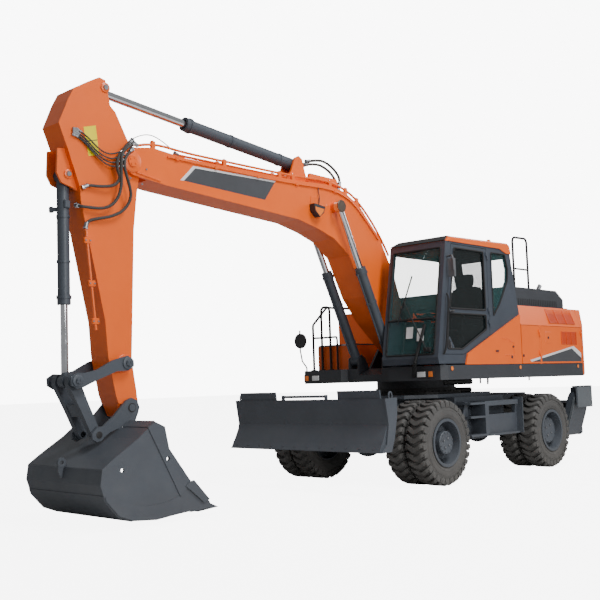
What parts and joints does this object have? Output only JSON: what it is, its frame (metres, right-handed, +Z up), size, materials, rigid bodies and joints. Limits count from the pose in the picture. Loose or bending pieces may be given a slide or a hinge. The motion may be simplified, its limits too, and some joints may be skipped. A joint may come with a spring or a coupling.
{
  "type": "wheeled excavator",
  "caption": "Wheeled excavator with a one-piece boom and digging bucket, a dozer blade at one end, folding outriggers at the other, twin tyres and a glazed cab",
  "frame": {"origin": "on the floor, in the middle of the machine's length and width", "axes": "+X toward the blade and the bucket, +Y toward the cab side, +Z up"},
  "size_m": [8.636, 2.697, 4.436],
  "materials": {
    "chassis_frame": "semi-gloss paint",
    "slew_ring": "semi-gloss paint",
    "axle_fixed": "semi-gloss paint",
    "axle_steer": "semi-gloss paint",
    "step_box_left": "semi-gloss paint",
    "step_box_right": "semi-gloss paint",
    "upper_frame": "semi-gloss paint",
    "counterweight": "semi-gloss paint",
    "engine_block": "painted casting",
    "body_panels": "semi-gloss paint",
    "tank": "semi-gloss paint",
    "step_tread": "ribbed tread plate",
    "hood_strip": "semi-gloss paint",
    "hood_rail": "semi-gloss paint",
    "front_rail": "semi-gloss paint",
    "cab_shell": "semi-gloss paint",
    "cab_roof": "semi-gloss paint",
    "cab_glass": "tinted safety glass",
    "cab_inside": "textile seat and moulded consoles",
    "mirror_left": "moulded housing",
    "mirror_right": "moulded housing",
    "head_lamps": "clear lamp lens",
    "tyres_fixed_left": "matt rubber",
    "wheel_fixed_left": "semi-gloss paint",
    "knuckle_left": "semi-gloss paint",
    "tyres_steer_left": "matt rubber",
    "wheel_steer_left": "semi-gloss paint",
    "tyres_fixed_right": "matt rubber",
    "wheel_fixed_right": "semi-gloss paint",
    "knuckle_right": "semi-gloss paint",
    "tyres_steer_right": "matt rubber",
    "wheel_steer_right": "semi-gloss paint",
    "dozer_blade": "semi-gloss paint",
    "blade_cylinder_barrels": "semi-gloss paint",
    "blade_cylinder_rods": "hard chrome",
    "outrigger_left": "semi-gloss paint",
    "outrigger_barrel_left": "semi-gloss paint",
    "outrigger_rod_left": "hard chrome",
    "outrigger_right": "semi-gloss paint",
    "outrigger_barrel_right": "semi-gloss paint",
    "outrigger_rod_right": "hard chrome",
    "boom": "semi-gloss paint",
    "boom_cylinder_barrels": "semi-gloss paint",
    "boom_cylinder_rods": "hard chrome",
    "arm": "semi-gloss paint",
    "arm_cylinder_barrel": "semi-gloss paint",
    "arm_cylinder_rod": "hard chrome",
    "bucket": "semi-gloss paint",
    "guide_links": "semi-gloss paint",
    "h_link": "semi-gloss paint",
    "bucket_cylinder_barrel": "semi-gloss paint",
    "bucket_cylinder_rod": "hard chrome",
    "cab_door": "semi-gloss paint",
    "door_left_front": "semi-gloss paint",
    "door_left_rear": "semi-gloss paint",
    "door_right": "semi-gloss paint",
    "hood_lid": "semi-gloss paint"
  },
  "bodies": {
    "chassis": {"chassis_frame": "chassis_frame", "slew_ring": "slew_ring", "axle_fixed": "axle_fixed", "axle_steer": "axle_steer", "step_box_left": "step_box_left", "step_box_right": "step_box_right"},
    "upper": {"upper_frame": "upper_frame", "counterweight": "counterweight", "engine_block": "engine_block", "body_panels": "body_panels", "tank": "tank", "step_tread": "step_tread", "hood_strip": "hood_strip", "hood_rail": "hood_rail", "front_rail": "front_rail", "cab_shell": "cab_shell", "cab_roof": "cab_roof", "cab_glass": "cab_glass", "cab_inside": "cab_inside", "mirror_left": "mirror_left", "mirror_right": "mirror_right", "head_lamps": "head_lamps"},
    "wheels_fixed_left": {"tyres_fixed_left": "tyres_fixed_left", "wheel_fixed_left": "wheel_fixed_left"},
    "steer_left": {"knuckle_left": "knuckle_left"},
    "wheels_steer_left": {"tyres_steer_left": "tyres_steer_left", "wheel_steer_left": "wheel_steer_left"},
    "wheels_fixed_right": {"tyres_fixed_right": "tyres_fixed_right", "wheel_fixed_right": "wheel_fixed_right"},
    "steer_right": {"knuckle_right": "knuckle_right"},
    "wheels_steer_right": {"tyres_steer_right": "tyres_steer_right", "wheel_steer_right": "wheel_steer_right"},
    "blade": {"dozer_blade": "dozer_blade"},
    "blade_barrels": {"blade_cylinder_barrels": "blade_cylinder_barrels"},
    "blade_rods": {"blade_cylinder_rods": "blade_cylinder_rods"},
    "outrigger_left": {"outrigger_left": "outrigger_left"},
    "outrigger_barrel_left": {"outrigger_barrel_left": "outrigger_barrel_left"},
    "outrigger_rod_left": {"outrigger_rod_left": "outrigger_rod_left"},
    "outrigger_right": {"outrigger_right": "outrigger_right"},
    "outrigger_barrel_right": {"outrigger_barrel_right": "outrigger_barrel_right"},
    "outrigger_rod_right": {"outrigger_rod_right": "outrigger_rod_right"},
    "boom": {"boom": "boom"},
    "boom_barrels": {"boom_cylinder_barrels": "boom_cylinder_barrels"},
    "boom_rods": {"boom_cylinder_rods": "boom_cylinder_rods"},
    "arm": {"arm": "arm"},
    "arm_barrel": {"arm_cylinder_barrel": "arm_cylinder_barrel"},
    "arm_rod": {"arm_cylinder_rod": "arm_cylinder_rod"},
    "bucket": {"bucket": "bucket"},
    "guide_links": {"guide_links": "guide_links"},
    "h_link": {"h_link": "h_link"},
    "bucket_barrel": {"bucket_cylinder_barrel": "bucket_cylinder_barrel"},
    "bucket_rod": {"bucket_cylinder_rod": "bucket_cylinder_rod"},
    "cab_door": {"cab_door": "cab_door"},
    "door_left_front": {"door_left_front": "door_left_front"},
    "door_left_rear": {"door_left_rear": "door_left_rear"},
    "door_right": {"door_right": "door_right"},
    "hood_lid": {"hood_lid": "hood_lid"}
  },
  "joints": [
    {"name": "slew", "type": "hinge", "parent": "chassis", "child": "upper", "pos_m": [-1.388, 0, 1.2], "axis": [0, 0, 1], "continuous": true},
    {"name": "spin_fixed_left", "type": "hinge", "parent": "chassis", "child": "wheels_fixed_left", "pos_m": [-0.293, 1.119, 0.52], "axis": [0, 1, 0], "continuous": true},
    {"name": "spin_fixed_right", "type": "hinge", "parent": "chassis", "child": "wheels_fixed_right", "pos_m": [-0.293, -1.119, 0.52], "axis": [0, 1, 0], "continuous": true},
    {"name": "steering_left", "type": "hinge", "parent": "chassis", "child": "steer_left", "pos_m": [-2.893, 0.64, 0.52], "axis": [0, 0, 1], "range_deg": [-28, 28]},
    {"name": "spin_steer_left", "type": "hinge", "parent": "steer_left", "child": "wheels_steer_left", "pos_m": [-2.893, 1.119, 0.52], "axis": [0, 1, 0], "continuous": true},
    {"name": "steering_right", "type": "hinge", "parent": "chassis", "child": "steer_right", "pos_m": [-2.893, -0.64, 0.52], "axis": [0, 0, 1], "range_deg": [-28, 28]},
    {"name": "spin_steer_right", "type": "hinge", "parent": "steer_right", "child": "wheels_steer_right", "pos_m": [-2.893, -1.119, 0.52], "axis": [0, 1, 0], "continuous": true},
    {"name": "blade_lift", "type": "hinge", "parent": "chassis", "child": "blade", "pos_m": [0.092, 0, 0.64], "axis": [0, -1, 0], "range_deg": [-28, 5]},
    {"name": "blade_barrels_tilt", "type": "hinge", "parent": "chassis", "child": "blade_barrels", "pos_m": [0.377, 0, 0.985], "axis": [0, -1, 0], "range_deg": [-21.83, 3.9]},
    {"name": "blade_rods_slide", "type": "slide", "parent": "blade_barrels", "child": "blade_rods", "axis": [0.6857, 0, -0.7279], "range_m": [-0.0373, 0.2089]},
    {"name": "outrigger_left_fold", "type": "hinge", "parent": "chassis", "child": "outrigger_left", "pos_m": [-4.053, 0.93, 0.43], "axis": [-1, 0, 0], "range_deg": [0, 98]},
    {"name": "outrigger_barrel_left_tilt", "type": "hinge", "parent": "chassis", "child": "outrigger_barrel_left", "pos_m": [-4.053, 0.18, 0.76], "axis": [-1, 0, 0], "range_deg": [0, 5.68]},
    {"name": "outrigger_rod_left_slide", "type": "slide", "parent": "outrigger_barrel_left", "child": "outrigger_rod_left", "axis": [0, 0.9894, -0.1451], "range_m": [0, 0.3592]},
    {"name": "outrigger_right_fold", "type": "hinge", "parent": "chassis", "child": "outrigger_right", "pos_m": [-4.053, -0.93, 0.43], "axis": [1, 0, 0], "range_deg": [0, 98]},
    {"name": "outrigger_barrel_right_tilt", "type": "hinge", "parent": "chassis", "child": "outrigger_barrel_right", "pos_m": [-4.053, -0.18, 0.76], "axis": [1, 0, 0], "range_deg": [0, 5.68]},
    {"name": "outrigger_rod_right_slide", "type": "slide", "parent": "outrigger_barrel_right", "child": "outrigger_rod_right", "axis": [0, -0.9894, -0.1451], "range_m": [0, 0.3592]},
    {"name": "boom_lift", "type": "hinge", "parent": "upper", "child": "boom", "pos_m": [-1.088, -0.05, 1.74], "axis": [0, -1, 0], "range_deg": [-56, 36]},
    {"name": "boom_barrels_tilt", "type": "hinge", "parent": "upper", "child": "boom_barrels", "pos_m": [-0.538, -0.05, 1.575], "axis": [0, -1, 0], "range_deg": [-60.57, 38.94]},
    {"name": "boom_rods_slide", "type": "slide", "parent": "boom_barrels", "child": "boom_rods", "axis": [0.4331, 0, 0.9013], "range_m": [-0.4497, 0.2891]},
    {"name": "arm_swing", "type": "hinge", "parent": "boom", "child": "arm", "pos_m": [3.494, -0.05, 3.616], "axis": [0, -1, 0], "range_deg": [-28, 84]},
    {"name": "arm_barrel_tilt", "type": "hinge", "parent": "boom", "child": "arm_barrel", "pos_m": [0.912, -0.05, 4.011], "axis": [0, -1, 0], "range_deg": [-3.36, 1.13]},
    {"name": "arm_rod_slide", "type": "slide", "parent": "arm_barrel", "child": "arm_rod", "axis": [0.9935, 0, 0.1139], "range_m": [-0.8826, 0.2942]},
    {"name": "bucket_curl", "type": "hinge", "parent": "arm", "child": "bucket", "pos_m": [3.536, -0.05, 1.107], "axis": [0, -1, 0], "range_deg": [-85, 65]},
    {"name": "guide_links_swing", "type": "hinge", "parent": "arm", "child": "guide_links", "pos_m": [3.597, -0.05, 1.549], "axis": [0, -1, 0], "range_deg": [-68.13, 52.1]},
    {"name": "h_link_swing", "type": "hinge", "parent": "guide_links", "child": "h_link", "pos_m": [4.177, -0.05, 1.385], "axis": [0, -1, 0], "range_deg": [-37.98, 49.66]},
    {"name": "bucket_barrel_tilt", "type": "hinge", "parent": "arm", "child": "bucket_barrel", "pos_m": [4.187, -0.05, 3.4], "axis": [0, -1, 0], "range_deg": [-6.9, 5.28]},
    {"name": "bucket_rod_slide", "type": "slide", "parent": "bucket_barrel", "child": "bucket_rod", "axis": [-0.005, 0, -1], "range_m": [-0.4592, 0.6004]},
    {"name": "cab_door_hinge", "type": "hinge", "parent": "upper", "child": "cab_door", "pos_m": [-1.451, 1.2133, 2.2], "axis": [0, 0, 1], "range_deg": [0, 150]},
    {"name": "door_left_front_hinge", "type": "hinge", "parent": "upper", "child": "door_left_front", "pos_m": [-2.72, 1.2313, 1.7], "axis": [0, 0, 1], "range_deg": [0, 110]},
    {"name": "door_left_rear_hinge", "type": "hinge", "parent": "upper", "child": "door_left_rear", "pos_m": [-3.984, 1.2313, 1.7], "axis": [0, 0, 1], "range_deg": [0, 110]},
    {"name": "door_right_hinge", "type": "hinge", "parent": "upper", "child": "door_right", "pos_m": [-3.984, -1.2313, 1.7], "axis": [0, 0, -1], "range_deg": [0, 110]},
    {"name": "hood_lid_hinge", "type": "hinge", "parent": "upper", "child": "hood_lid", "pos_m": [-3.8, 0, 2.2963], "axis": [0, -1, 0], "range_deg": [0, 55]}
  ],
  "couplings": [
    {"joint": "steering_right", "follows": "steering_left", "ratio": 1},
    {"joint": "blade_barrels_tilt", "follows": "blade_lift", "ratio": 0.7793},
    {"joint": "blade_rods_slide", "follows": "blade_lift", "m_per_rad": -0.4273},
    {"joint": "outrigger_barrel_left_tilt", "follows": "outrigger_left_fold", "ratio": 0.0579},
    {"joint": "outrigger_rod_left_slide", "follows": "outrigger_left_fold", "m_per_rad": 0.21},
    {"joint": "outrigger_barrel_right_tilt", "follows": "outrigger_right_fold", "ratio": 0.0579},
    {"joint": "outrigger_rod_right_slide", "follows": "outrigger_right_fold", "m_per_rad": 0.21},
    {"joint": "boom_barrels_tilt", "follows": "boom_lift", "ratio": 1.0815},
    {"joint": "boom_rods_slide", "follows": "boom_lift", "m_per_rad": 0.4601},
    {"joint": "arm_barrel_tilt", "follows": "arm_swing", "ratio": -0.04},
    {"joint": "arm_rod_slide", "follows": "arm_swing", "m_per_rad": -0.602},
    {"joint": "guide_links_swing", "follows": "bucket_curl", "ratio": 0.8015},
    {"joint": "h_link_swing", "follows": "bucket_curl", "ratio": -0.5842},
    {"joint": "bucket_barrel_tilt", "follows": "bucket_curl", "ratio": 0.0811},
    {"joint": "bucket_rod_slide", "follows": "bucket_curl", "m_per_rad": -0.4047}
  ]
}
